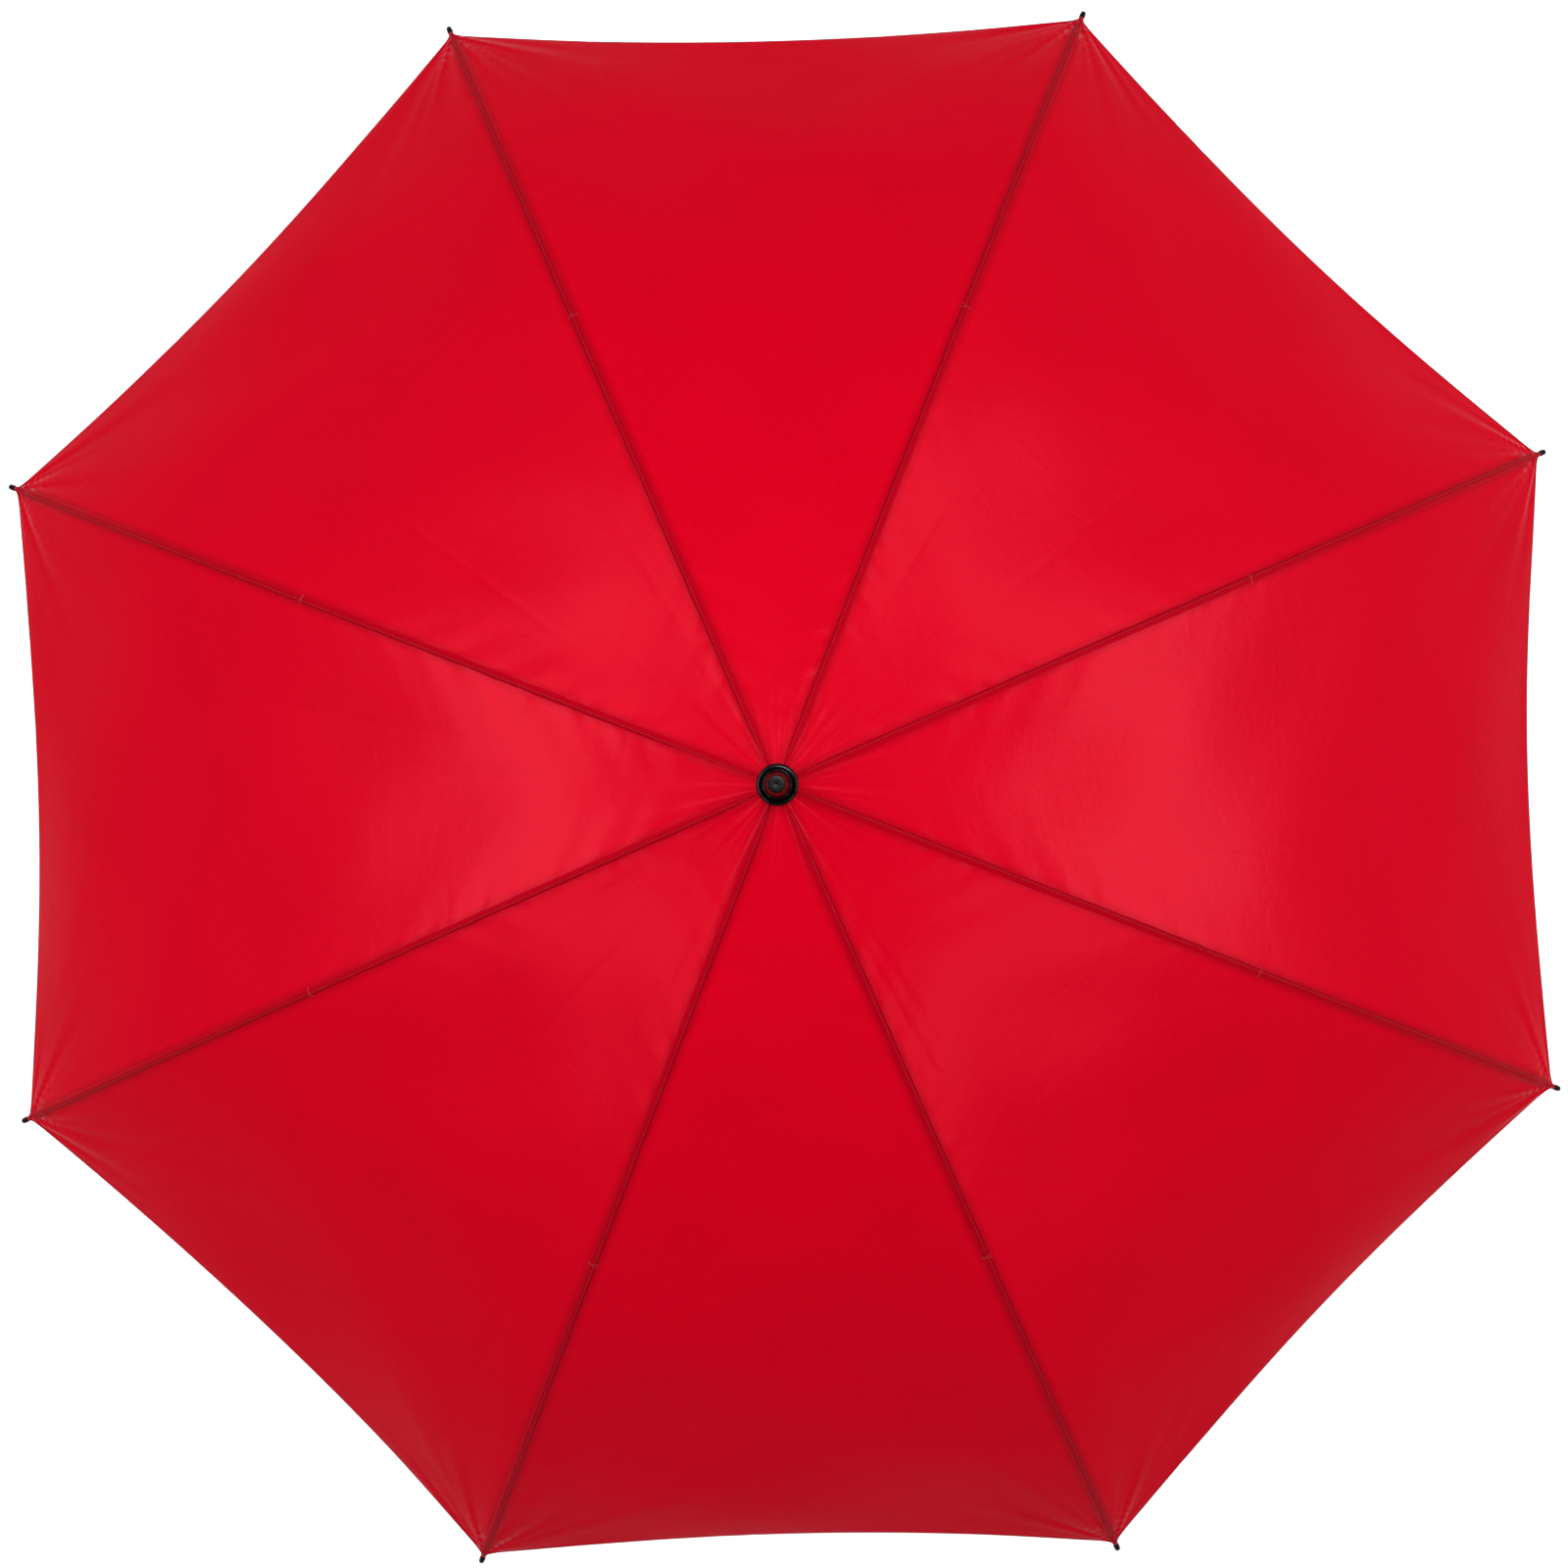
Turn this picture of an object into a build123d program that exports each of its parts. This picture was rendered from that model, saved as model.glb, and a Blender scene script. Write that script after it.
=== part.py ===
from build123d import *
import os
from math import asin, cos, degrees, radians, sin, sqrt

os.makedirs("parts", exist_ok=True)

# Golf umbrella, stored open. Millimetres, +Z up the shaft, origin at the middle of the handle's end.
# One rib is modelled in the XZ plane (X outwards) and turned about the shaft to its azimuth.

# ---- driving dimensions ----
PANELS = 8
STEP_DEG = 360 / PANELS
HALF_DEG = STEP_DEG / 2
RIB_AZIMUTHS = [HALF_DEG + STEP_DEG * k for k in range(PANELS)]

CROWN_Z = 945.0  # height of the rib hinges
TOTAL_H = 1010.0  # handle end to ferrule end
PIVOT_R = 12.0  # radius of both wire rings
WIRE_R = 0.5

RIB_RADIUS = 1375.0  # bend of an open rib
RIB_LENGTH = 720.0  # along the bend, hinge to tip
RIB_START_DEG = 10.8  # slope at the crown
LINK = 335.0  # crown hinge to stretcher rivet, and rivet to runner hinge
CLOSED_DEG = 1.0  # link angle from the shaft when closed

SHAFT_R, SHAFT_BORE = 7.0, 6.2
SHAFT_BOTTOM, SHAFT_TOP = 12.0, 975.0
RUN_GAP = 0.3  # runner bore to shaft, all round

CHANNEL_W, CHANNEL_H, CHANNEL_WALL = 4.0, 4.0, 0.7
TONGUE_W, TONGUE_H, EYE_R, EYE_HOLE = 1.6, 3.0, 1.7, 0.6
ROD_R, SLEEVE_R, TIP_R = 1.6, 2.15, 2.4
RIVET_R, RIVET_HOLE = 1.0, 1.08
ARM_IN, ARM_OUT = 2.5, 3.2  # inner and outer half widths of a stretcher

WHEEL_R, SLOT_W = 15.5, 2.4
CANOPY_LIFT, CLOTH = 3.2, 0.7  # above the rib's middle line; modelled thickness
CANOPY_R, CANOPY_HOLE, HEM_SAG = 646.0, 7.8, 15.0
GRIP_R, GRIP_TOP = 17.0, 166.0
CATCH_OUT = 9.2  # radius the catch noses reach

# ---- derived ----
START = radians(RIB_START_DEG)
BEND_X = PIVOT_R - RIB_RADIUS * sin(START)  # centre of the rib's bend
BEND_Z = CROWN_Z - RIB_RADIUS * cos(START)
S_RIVET = 2 * RIB_RADIUS * asin(LINK / (2 * RIB_RADIUS))
OPEN_DEG = 90 - RIB_START_DEG - degrees(S_RIVET / (2 * RIB_RADIUS))
RUNNER_Z = CROWN_Z - 2 * LINK * cos(radians(OPEN_DEG))
CLOSED_RUNNER_Z = CROWN_Z - 2 * LINK * cos(radians(CLOSED_DEG))
RUNNER_BOTTOM = RUNNER_Z - 85.0
RIVET = (
    PIVOT_R + LINK * sin(radians(OPEN_DEG)),
    CROWN_Z - LINK * cos(radians(OPEN_DEG)),
)


def save(node, *solids):
    """Write one node: one solid, or a group of separate ones."""
    shape = solids[0] if len(solids) == 1 else Compound(children=list(solids))
    export_step(shape, f"parts/{node}.step")


def ring(outer, inner, low, high):
    """A tube on the shaft's axis."""
    body = Cylinder(outer, high - low) - Cylinder(inner, high - low + 2)
    return Pos(0, 0, (low + high) / 2) * body


def block(x, y, z):
    """A box from three (low, high) pairs."""
    middle = [(a + b) / 2 for a, b in (x, y, z)]
    return Pos(*middle) * Box(x[1] - x[0], y[1] - y[0], z[1] - z[0])


def cross_pin(radius, length, x, z):
    """A round pin across the rib's plane."""
    return Pos(x, 0, z) * Rot(90, 0, 0) * Cylinder(radius, length)


def turned(points):
    """Spin a closed outline of (radius, height) points about the shaft."""
    face = make_face(Polyline(*[(r, 0, z) for r, z in points], close=True))
    return revolve(face, Axis.Z)


def around(shape, azimuth):
    return Rot(0, 0, azimuth) * shape


def along_rib(section, start, end):
    """Sweep a section, centred on the rib's middle line, from one distance along the bend to another."""
    turn = degrees(1 / RIB_RADIUS)
    face = Rot(0, RIB_START_DEG + start * turn, 0) * (Plane.YZ * (Pos(0, RIB_RADIUS) * section))
    return Pos(BEND_X, 0, BEND_Z) * revolve(face, Axis.Y, revolution_arc=(end - start) * turn)


def rib_point(s):
    angle = START + s / RIB_RADIUS
    return BEND_X + RIB_RADIUS * sin(angle), BEND_Z + RIB_RADIUS * cos(angle)


# ---- one rib and its stretcher ----
def rib_channel():
    """Steel channel, open downwards, with a hinge eye at the crown and two ears at the rivet."""
    inside = Pos(0, -CHANNEL_WALL) * Rectangle(CHANNEL_W - 2 * CHANNEL_WALL, CHANNEL_H)
    channel = along_rib(Rectangle(CHANNEL_W, CHANNEL_H) - inside, 10, S_RIVET + 2.6)
    channel -= along_rib(Rectangle(CHANNEL_W - 2 * CHANNEL_WALL, 6), S_RIVET - 6, S_RIVET + 6)
    tongue = along_rib(Rectangle(TONGUE_W, TONGUE_H), 0, 18)
    eye = cross_pin(EYE_R, TONGUE_W, PIVOT_R, CROWN_Z)
    rib = channel + tongue + eye - cross_pin(EYE_HOLE, 8, PIVOT_R, CROWN_Z)
    return rib - cross_pin(RIVET_R, 12, *RIVET)


def rivet():
    body = cross_pin(RIVET_R, 8.4, *RIVET)
    for side in (-1, 1):
        body += Pos(0, side * 3.85, 0) * cross_pin(1.8, 0.7, *RIVET)
    return body


def rib_joint():
    """Tongue between the ears, and the sleeve that holds the outer rod."""
    tongue = along_rib(Rectangle(2.0, 3.4), S_RIVET, S_RIVET + 12)
    sleeve = along_rib(Circle(SLEEVE_R), S_RIVET + 8, S_RIVET + 38)
    body = tongue + cross_pin(1.9, 2.0, *RIVET) + sleeve
    body -= along_rib(Circle(ROD_R), S_RIVET + 15, S_RIVET + 40)
    return body - cross_pin(RIVET_HOLE, 8, *RIVET)


def rib_rod():
    return along_rib(Circle(ROD_R), S_RIVET + 15, RIB_LENGTH - 8)


def rib_tip():
    """Cap on the rod's end with a round nose and the hole for the corner stitches."""
    x, z = rib_point(RIB_LENGTH - TIP_R)
    body = along_rib(Circle(TIP_R), RIB_LENGTH - 22, RIB_LENGTH - TIP_R) + Pos(x, 0, z) * Sphere(TIP_R)
    body -= along_rib(Circle(ROD_R), RIB_LENGTH - 24, RIB_LENGTH - 8)
    return body - cross_pin(0.6, 8, *rib_point(RIB_LENGTH - 5.5))


def stretcher():
    """Channel, open downwards, forked over the rib and ending in a hinge eye at the runner."""
    arm = block((0, LINK - 17), (-ARM_OUT, ARM_OUT), (-2.5, 2.3))
    arm -= block((-5, LINK - 29), (-ARM_IN, ARM_IN), (-1.8, 5))
    arm -= block((-5, 10), (-ARM_IN, ARM_IN), (-4, 5))
    arm += cross_pin(2.4, 2 * ARM_OUT, 0, 0) - cross_pin(3, 2 * ARM_IN, 0, 0)
    arm += block((LINK - 20, LINK), (-TONGUE_W / 2, TONGUE_W / 2), (-TONGUE_H / 2, TONGUE_H / 2))
    arm += cross_pin(EYE_R, TONGUE_W, LINK, 0)
    arm -= cross_pin(RIVET_HOLE, 12, 0, 0) + cross_pin(EYE_HOLE, 8, LINK, 0)
    return Pos(RIVET[0], 0, RIVET[1]) * Rot(0, 90 + OPEN_DEG, 0) * arm


# ---- crown, runner and shaft ----
def hinge_slots(low, high):
    """The slots that the hinge tongues swing in."""
    slot = block((9.8, 20), (-SLOT_W / 2, SLOT_W / 2), (low, high))
    return [around(slot, a) for a in RIB_AZIMUTHS]


def wire_ring(z):
    return Pos(0, 0, z) * Torus(PIVOT_R, WIRE_R)


def crown_notch():
    body = ring(WHEEL_R, SHAFT_R, CROWN_Z - 7, CROWN_Z + 1.8)
    body += ring(9.5, SHAFT_R, CROWN_Z - 18, CROWN_Z - 7)
    for slot in hinge_slots(CROWN_Z - 8, CROWN_Z + 3):
        body -= slot
    return body - wire_ring(CROWN_Z)


def keyway(low, high):
    """The groove that lets the runner pass the catch noses."""
    return block((0, CATCH_OUT + 0.6), (-1.7, 1.7), (low, high))


def runner_notch():
    body = ring(WHEEL_R, SHAFT_R + RUN_GAP, RUNNER_Z - 9, RUNNER_Z + 7)
    for slot in hinge_slots(RUNNER_Z - 2.6, RUNNER_Z + 8):
        body -= slot
    body -= keyway(RUNNER_Z - 10, RUNNER_Z + 8)
    return body - wire_ring(RUNNER_Z)


def runner_sleeve():
    outline = [
        (SHAFT_R + RUN_GAP, RUNNER_BOTTOM), (13.0, RUNNER_BOTTOM), (13.8, RUNNER_BOTTOM + 0.8),
        (13.8, RUNNER_BOTTOM + 9), (11.2, RUNNER_BOTTOM + 13), (11.2, RUNNER_Z - 16),
        (13.4, RUNNER_Z - 9), (SHAFT_R + RUN_GAP, RUNNER_Z - 9),
    ]
    window = block((8, 16), (-1.7, 1.7), (RUNNER_BOTTOM + 15, RUNNER_BOTTOM + 30))
    return turned(outline) - keyway(RUNNER_BOTTOM - 1, RUNNER_Z) - window


def catch(profile, low, high):
    """Nose that stands out of the shaft, on a leaf inside the tube."""
    nose = extrude(make_face(Polyline(*[(x, 0, z) for x, z in profile], close=True)), 1.0, both=True)
    return nose + block((3.0, 4.4), (-1.5, 1.5), (low, high))


TOP_CATCH_Z = RUNNER_BOTTOM - 0.4  # flat top, under the open runner
LOW_CATCH_Z = CLOSED_RUNNER_Z - 85 + 15.4  # flat underside, in the closed runner's window


def top_catch():
    z = TOP_CATCH_Z
    profile = [(4, z), (CATCH_OUT, z), (CATCH_OUT, z - 3.5), (7.2, z - 13), (4, z - 13)]
    return catch(profile, z - 42, z)


def bottom_catch():
    z = LOW_CATCH_Z
    profile = [(4, z), (CATCH_OUT, z), (CATCH_OUT, z + 3.5), (7.2, z + 12), (4, z + 12)]
    return catch(profile, z - 30, z + 12)


def catch_pins():
    return [cross_pin(0.9, 2 * SHAFT_R - 0.2, 0, z) for z in (TOP_CATCH_Z - 48, LOW_CATCH_Z - 36)]


STOP_Z = RUNNER_Z + 8.4


def shaft_tube():
    body = ring(SHAFT_R, SHAFT_BORE, SHAFT_BOTTOM, SHAFT_TOP)
    for low, high in ((TOP_CATCH_Z - 14.5, TOP_CATCH_Z + 1), (LOW_CATCH_Z - 1, LOW_CATCH_Z + 13.5)):
        body -= block((4, 9), (-1.4, 1.4), (low, high))
    body -= cross_pin(1.0, 20, 0, STOP_Z)
    for pin in catch_pins():
        body -= pin
    return body


# ---- handle and ferrule ----
def grip_foam():
    body = ring(GRIP_R, 9.5, SHAFT_BOTTOM, GRIP_TOP)
    return fillet(body.edges().filter_by(GeomType.CIRCLE).filter_by(lambda e: e.radius > 12), 2.0)


def grip_end_cap():
    return turned([
        (0, 0), (14.5, 0), (16.4, 2), (16.8, 5), (16.8, 12), (SHAFT_BORE, 12), (SHAFT_BORE, 30), (0, 30),
    ])


def grip_collar():
    return turned([(SHAFT_R, GRIP_TOP), (15.8, GRIP_TOP), (15.2, 170), (9.4, 180), (SHAFT_R, 180)])


def ferrule_washer():
    z = CROWN_Z
    return turned([
        (SHAFT_R, z + 5.2), (13.2, z + 3.9), (14.6, z + 4.4), (15.0, z + 5.6), (14.6, z + 6.9), (13.4, z + 7.5),
        (11.6, z + 8.2), (10.2, z + 10), (SHAFT_R, z + 10),
    ])


def ferrule_spike():
    outer = turned([(0, CROWN_Z + 10), (9.8, CROWN_Z + 10), (6.3, TOTAL_H), (0, TOTAL_H)])
    outer = fillet(outer.edges().filter_by(GeomType.CIRCLE).sort_by(Axis.Z)[-1], 2.5)
    return outer - Pos(0, 0, SHAFT_TOP - 50) * Cylinder(SHAFT_R, 100)


# ---- canopy ----
def cloth_z(x, lift):
    """Height of a panel at distance x from the shaft along its middle; level across the panel."""
    reach = x / cos(radians(HALF_DEG)) - BEND_X
    return BEND_Z + sqrt((RIB_RADIUS + CANOPY_LIFT) ** 2 - reach**2) + lift


def cloth_band(x_low, x_high, low, high, width):
    """A curved band of cloth between two lifts, extruded across the panel."""
    xs = [x_low + (x_high - x_low) * k / 14 for k in range(15)]
    bottom = Spline(*[(x, 0, cloth_z(x, low)) for x in xs])
    top = Spline(*[(x, 0, cloth_z(x, high)) for x in xs])
    ends = [Line(bottom @ 1, top @ 1), Line(top @ 0, bottom @ 0)]
    return extrude(make_face(Curve() + [bottom, top, *ends]), width, both=True)


def gore():
    """One panel: the curved band cut to a wedge with a hollow hem."""
    half = radians(HALF_DEG)
    corner = [(r * cos(half), r * sin(half)) for r in (CANOPY_HOLE, CANOPY_R)]
    (ax, ay), (bx, by) = corner
    outline = Curve() + [
        Line((ax, -ay), (bx, -by)),
        ThreePointArc((bx, -by), (bx - HEM_SAG, 0), (bx, by)),
        Line((bx, by), (ax, ay)),
        ThreePointArc((ax, ay), (CANOPY_HOLE, 0), (ax, -ay)),
    ]
    wedge = Pos(0, 0, 550) * extrude(make_face(outline), 450)
    return cloth_band(4, 610, 0, CLOTH, 300) & wedge


def tie_strap():
    """Folded strap with its hook patch, sewn under one panel near the hem."""
    return Pos(0, 60, 0) * cloth_band(490, 568, -2.0, -0.4, 10)


def main():
    parts = {
        "shaft_tube": [shaft_tube()],
        "grip_core": [ring(9.5, SHAFT_R, SHAFT_BOTTOM, GRIP_TOP)],
        "grip_foam": [grip_foam()],
        "grip_end_cap": [grip_end_cap()],
        "grip_collar": [grip_collar()],
        "crown_notch": [crown_notch()],
        "crown_wire": [wire_ring(CROWN_Z)],
        "ferrule_washer": [ferrule_washer()],
        "ferrule_spike": [ferrule_spike()],
        "runner_stop": [cross_pin(1.0, 18.6, 0, STOP_Z)],
        "catch_pins": catch_pins(),
        "runner_sleeve": [runner_sleeve()],
        "runner_notch": [runner_notch()],
        "runner_wire": [wire_ring(RUNNER_Z)],
        "top_catch": [top_catch()],
        "bottom_catch": [bottom_catch()],
    }
    panel = gore()
    parts["canopy"] = [around(panel, STEP_DEG * k) for k in range(PANELS)]
    parts["tie_strap"] = [around(tie_strap(), 180)]
    pieces = {
        "rib_channel": [rib_channel(), rivet()],
        "rib_joint": [rib_joint()],
        "rib_rod": [rib_rod()],
        "rib_tip": [rib_tip()],
        "stretcher": [stretcher()],
    }
    for k, azimuth in enumerate(RIB_AZIMUTHS, start=1):
        for name, solids in pieces.items():
            parts[f"{name}_{k}"] = [around(s, azimuth) for s in solids]
    for node, solids in parts.items():
        save(node, *solids)


main()
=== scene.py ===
from collections import namedtuple
from math import cos, pi, radians, sin, tan

import bmesh
import bpy
import numpy as np
from mathutils import Matrix, Vector


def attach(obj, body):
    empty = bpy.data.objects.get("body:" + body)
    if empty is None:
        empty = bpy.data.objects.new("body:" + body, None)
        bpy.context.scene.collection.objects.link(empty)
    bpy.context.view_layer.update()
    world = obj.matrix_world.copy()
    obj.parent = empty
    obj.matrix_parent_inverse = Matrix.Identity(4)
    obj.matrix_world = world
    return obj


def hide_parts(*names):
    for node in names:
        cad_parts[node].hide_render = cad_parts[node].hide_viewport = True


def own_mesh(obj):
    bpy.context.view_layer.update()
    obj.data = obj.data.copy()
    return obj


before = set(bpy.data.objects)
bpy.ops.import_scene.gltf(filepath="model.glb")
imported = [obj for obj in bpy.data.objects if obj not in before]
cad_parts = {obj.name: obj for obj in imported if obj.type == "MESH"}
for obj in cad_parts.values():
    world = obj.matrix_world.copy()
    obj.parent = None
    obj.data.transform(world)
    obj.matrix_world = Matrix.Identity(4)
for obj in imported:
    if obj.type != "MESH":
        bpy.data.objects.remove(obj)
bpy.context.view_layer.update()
MM = 0.001

# ---- sizes shared with the frame, in metres ----
PANELS = 8
HALF = radians(180 / PANELS)  # half a panel's turn about the shaft
RIB_AZIMUTHS = [HALF * (2 * k + 1) for k in range(PANELS)]
BEND = 1.375  # bend radius of an open rib
START = radians(10.8)  # slope of a rib at the crown
PIVOT_R, CROWN_Z = 0.012, 0.945  # the rib hinges: distance from the shaft's middle line, and height
BEND_X, BEND_Z = PIVOT_R - BEND * sin(START), CROWN_Z - BEND * cos(START)  # centre of the rib's bend
RIVET_S = 0.33583  # crown to stretcher rivet, along the rib
TIP_S = 0.720  # crown to tip, along the rib
SPIKE_TOP = 1010.0  # mm

# ---- sizes of the cloth, in metres ----
CLOTH_TOP = 3.75 * MM  # outer face of the cloth above the rib's middle line
CLOTH_THICK = 0.35 * MM
CLOTH_S = (-0.0008, 0.7110)  # the cloth's run along the rib
HEM_SAG = 12.0 * MM  # how far the middle of the hem is drawn in towards the shaft
NECK = 4.0 * MM  # how far the hem is drawn in right beside each tip
NECK_REACH = 4.0 * MM  # how fast the neck widens away from the rib
DRAWN_FROM = 0.42  # along the rib, where the drawing in starts
BOW = 2.5 * MM  # how far the middle of a panel bows in below the straight line between its ribs
HEM_FOLD, HEM_LIFT = 9.0 * MM, 0.25 * MM  # width and height of the hem's fold
# The cloth comes down onto the tips: how far, from where along the rib, and over what length.
SETTLE, SETTLE_FROM, SETTLE_RUN = 0.85 * MM, 0.686, 0.014
SETTLE_REACH = 12.0 * MM  # how fast that fades away from the rib
TIE_S = 0.387  # crown to the thread that ties the cloth to the rib
BAND_HALF = 3.3 * MM  # half the width of a felled seam
STITCH_PITCH, STITCH_SIZE = 2.9 * MM, (2.1 * MM, 0.42 * MM, 0.3 * MM)  # size: length, width, height

# A span is the cloth over one rigid length of a rib. keep is the share of its width left when closed, and
# square is the place along the rib where the gathering is square to it.
Span = namedtuple("Span", "name start end body rows keep square")
SPANS = (
    Span("inner", CLOTH_S[0], RIVET_S, "rib", 110, 0.055, 0.24),
    Span("outer", RIVET_S, CLOTH_S[1], "rib_end", 150, 0.042, 0.60),
)
PANEL_COLUMNS = 44

# ---- sizes of the strap, in mm ----
STRAP_PANEL, STRAP_RIB = 3, 4  # the panel that carries the strap, and the rib beside it
STRAP_OFFSET = 60.0  # from the panel's middle line
STRAP_WIDTH, STRAP_FOLDED = 20.0, 88.0
STRAP_FOLD = 0.6325  # metres along the rib to the fold
STRAP_DEPTH, STRAP_TURN = 2.2, 0.6  # below the cloth, and the fold's radius
HOOK_WIDTH, HOOK_LENGTH = 15.0, 22.0
HOOK_INSET, HOOK_GAP, HOOK_PILE = 3, 0.1, 0.9  # from the strap's end, to the strap, and the hooks' height
FAR_MM = 40.0  # a distance at which the painted shade beside the seam and along the hem is gone


# ---- node materials ----
def linear(hex_colour):
    """sRGB hex to linear red, green, blue and alpha."""
    parts = [int(hex_colour[i:i + 2], 16) / 255 for i in (1, 3, 5)]
    return [*(c / 12.92 if c <= 0.04045 else ((c + 0.055) / 1.055) ** 2.4 for c in parts), 1.0]


def add(tree, kind, links=(), **settings):
    """Add one shader node: settings go to its properties or sockets, links join (socket, from socket)."""
    node = tree.nodes.new(kind)
    sockets = settings.pop("sockets", {})
    for name, value in settings.items():
        setattr(node, name, value)
    for name, value in sockets.items():
        node.inputs[name].default_value = value
    for name, source in links:
        tree.links.new(source, node.inputs[name])
    return node


def material(name, **shader):
    """A new material with one Principled shader; returns the material, its tree and the shader."""
    mat = bpy.data.materials.new(name)
    mat.use_nodes = True
    tree = mat.node_tree
    principled = tree.nodes["Principled BSDF"]
    for socket, value in shader.items():
        principled.inputs[socket].default_value = value
    return mat, tree, principled


def bumped(tree, principled, height, strength, distance):
    bump = add(
        tree, "ShaderNodeBump", [("Height", height)], sockets={"Strength": strength, "Distance": distance},
    )
    tree.links.new(bump.outputs["Normal"], principled.inputs["Normal"])


def two_tone(tree, factor, dark, light, low=0.0, high=1.0):
    """A colour that runs from dark to light as factor goes from low to high."""
    ramp = add(tree, "ShaderNodeValToRGB", [("Fac", factor)])
    first, last = ramp.color_ramp.elements
    first.position, first.color = low, linear(dark)
    last.position, last.color = high, linear(light)
    return ramp.outputs["Color"]


def multiply(tree, first, second):
    """The product of two colours."""
    mix = add(tree, "ShaderNodeMix", data_type="RGBA", blend_type="MULTIPLY")
    mix.inputs[0].default_value = 1.0
    tree.links.new(first, mix.inputs[6])
    tree.links.new(second, mix.inputs[7])
    return mix.outputs[2]


def pongee(name, dark, light):
    """Plain-weave pongee polyester, calendered: a satin face whose highlight comes from inside the dyed fibres,
    so it is red too, with painted shade beside each seam for the rib's shadow seen through the cloth, and
    painted shade along the stitched edge of the hem."""
    mat, tree, shader = material(
        name, Roughness=0.30, IOR=1.5, **{"Specular IOR Level": 0.36, "Specular Tint": linear("#FF5C72")},
    )
    uv = add(tree, "ShaderNodeUVMap", uv_map="cloth").outputs["UV"]
    # Thread pitch is 0.35 mm on the real cloth; drawn at 1.6 mm so that it shows at arm's length.
    pitch = 1.6 * MM
    threads = []
    for direction in ("X", "Y"):
        wave = add(
            tree, "ShaderNodeTexWave", [("Vector", uv)], wave_type="BANDS", bands_direction=direction,
            wave_profile="SIN", sockets={"Scale": 2 * pi / (20 * pitch), "Distortion": 0.6, "Detail": 1.0,
                                         "Detail Scale": 1.5},
        )
        threads.append(wave.outputs["Fac"])
    weave = add(
        tree, "ShaderNodeMath", [(0, threads[0]), (1, threads[1])], operation="MULTIPLY",
    )
    # Slow changes in dye and tension, a hand's width across.
    cloudy = add(tree, "ShaderNodeTexNoise", [("Vector", uv)], sockets={"Scale": 9.0, "Detail": 3.0})
    fine = add(tree, "ShaderNodeTexNoise", [("Vector", uv)], sockets={"Scale": 260.0, "Detail": 2.0})
    mixed = add(
        tree, "ShaderNodeMath", [(0, cloudy.outputs["Fac"]), (1, fine.outputs["Fac"])], operation="ADD",
    )
    ground = two_tone(tree, mixed.outputs[0], dark, light, 0.62, 1.0)
    # Painted shade beside each seam, for the rib's shadow seen through the cloth: darker within 9 mm of the
    # seam.
    seam = add(tree, "ShaderNodeAttribute", attribute_name="seam_mm").outputs["Fac"]
    shade = two_tone(tree, add(
        tree, "ShaderNodeMapRange", [("Value", seam)], sockets={"From Min": 2.5, "From Max": 9.0},
    ).outputs["Result"], "#DCDCDC", "#FFFFFF")
    # Painted shade along the hem's edge: darker within 2.5 mm of it.
    hem = add(tree, "ShaderNodeAttribute", attribute_name="hem_mm").outputs["Fac"]
    edge = two_tone(tree, add(
        tree, "ShaderNodeMapRange", [("Value", hem)], sockets={"From Min": 0.5, "From Max": 2.5},
    ).outputs["Result"], "#8C8C8C", "#FFFFFF")
    colour = multiply(tree, multiply(tree, ground, shade), edge)
    tree.links.new(colour, shader.inputs["Base Color"])
    # Handling leaves shallow crinkles about a centimetre wide, which break up the highlights.
    crinkle = add(
        tree, "ShaderNodeTexNoise", [("Vector", uv)],
        sockets={"Scale": 80.0, "Detail": 5.0, "Distortion": 0.8},
    )
    relief_map = add(
        tree, "ShaderNodeMath", [(0, weave.outputs[0]), (2, crinkle.outputs["Fac"])],
        operation="MULTIPLY_ADD", sockets={1: 0.07},
    )
    bumped(tree, shader, relief_map.outputs[0], 1.0, 0.24 * MM)
    return mat


def seam_polyester():
    """The same cloth folded in four and sewn, coloured darker: painted shade for the rib's shadow seen through
    the cloth and for the fold.
    """
    mat, tree, shader = material(
        "felled polyester seam", Roughness=0.55, IOR=1.5,
        **{"Specular IOR Level": 0.25, "Specular Tint": linear("#FF3A50")},
    )
    across = add(tree, "ShaderNodeAttribute", attribute_name="across").outputs["Fac"]
    ramp = add(tree, "ShaderNodeValToRGB", [("Fac", across)])
    # Painted shade: lightest at the edges, darkest beside the fold's step.
    ramp.color_ramp.elements[0].color, ramp.color_ramp.elements[1].color = linear("#B80019"), linear("#BC001A")
    for position, colour in (
        (0.16, "#AA0016"), (0.50, "#A00014"), (0.68, "#980013"), (0.84, "#940012"), (0.94, "#A40016"),
    ):
        ramp.color_ramp.elements.new(position).color = linear(colour)
    tree.links.new(ramp.outputs["Color"], shader.inputs["Base Color"])
    grain = add(tree, "ShaderNodeTexNoise", [("Vector", add(tree, "ShaderNodeTexCoord").outputs["Object"])],
                sockets={"Scale": 900.0, "Detail": 2.0})
    bumped(tree, shader, grain.outputs["Fac"], 0.25, 0.1 * MM)
    return mat


def speckled(name, dark, light, grain_mm, strength, depth_mm, detail=3.0, **shader_values):
    """A surface with one grain: colour and height both follow a noise whose grains are grain_mm wide."""
    mat, tree, shader = material(name, **shader_values)
    place = add(tree, "ShaderNodeTexCoord").outputs["Object"]
    noise = add(
        tree, "ShaderNodeTexNoise", [("Vector", place)],
        sockets={"Scale": 1 / (grain_mm * MM), "Detail": detail},
    )
    tree.links.new(two_tone(tree, noise.outputs["Fac"], dark, light, 0.35, 0.65), shader.inputs["Base Color"])
    bumped(tree, shader, noise.outputs["Fac"], strength, depth_mm * MM)
    return mat


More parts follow.
